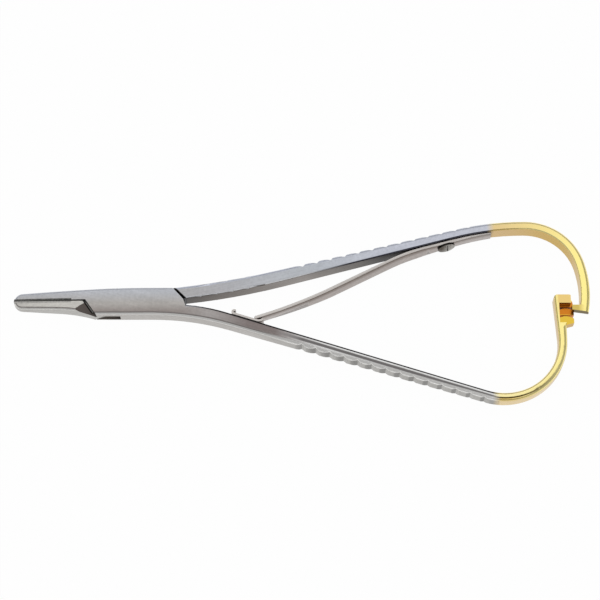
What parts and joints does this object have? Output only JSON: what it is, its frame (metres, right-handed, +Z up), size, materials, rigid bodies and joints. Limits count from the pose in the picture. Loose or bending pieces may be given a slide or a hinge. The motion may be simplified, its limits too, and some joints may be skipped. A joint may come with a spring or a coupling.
{
  "type": "surgical needle holder",
  "caption": "Palm-grip surgical needle holder with box lock, end ratchet, leaf spring, carbide-faced jaws and gilt bow ends, lying flat and closed.",
  "frame": {"origin": "middle of the overall box in plan, at the underside the instrument lies on", "axes": "+X from the jaw tips to the ratchet end, +Y towards the half that carries the screwed spring, +Z up through the thickness and along the box-lock pin"},
  "size_m": [0.1696, 0.0564, 0.0054],
  "materials": {
    "satin_steel": "satin, with polished gilt bow ends from about two thirds of the handles' length",
    "carbide": "fine matt tungsten carbide",
    "spring_steel": "bright satin spring steel",
    "screw_steel": "turned and polished"
  },
  "bodies": {
    "box_half": {"box_half": "satin_steel", "upper_jaw_insert": "carbide", "pivot_pin": "satin_steel", "keeper_leaf": "spring_steel", "keeper_rivet": "screw_steel"},
    "cross_half": {"cross_half": "satin_steel", "lower_jaw_insert": "carbide", "leaf_spring": "spring_steel", "spring_screw": "screw_steel"}
  },
  "joints": [
    {"name": "box_pivot", "type": "hinge", "parent": "box_half", "child": "cross_half", "pos_m": [-0.04933, 0.0026, 0.0027], "axis": [0, 0, 1], "range_deg": [0, 12], "deforming": ["leaf_spring"]}
  ]
}
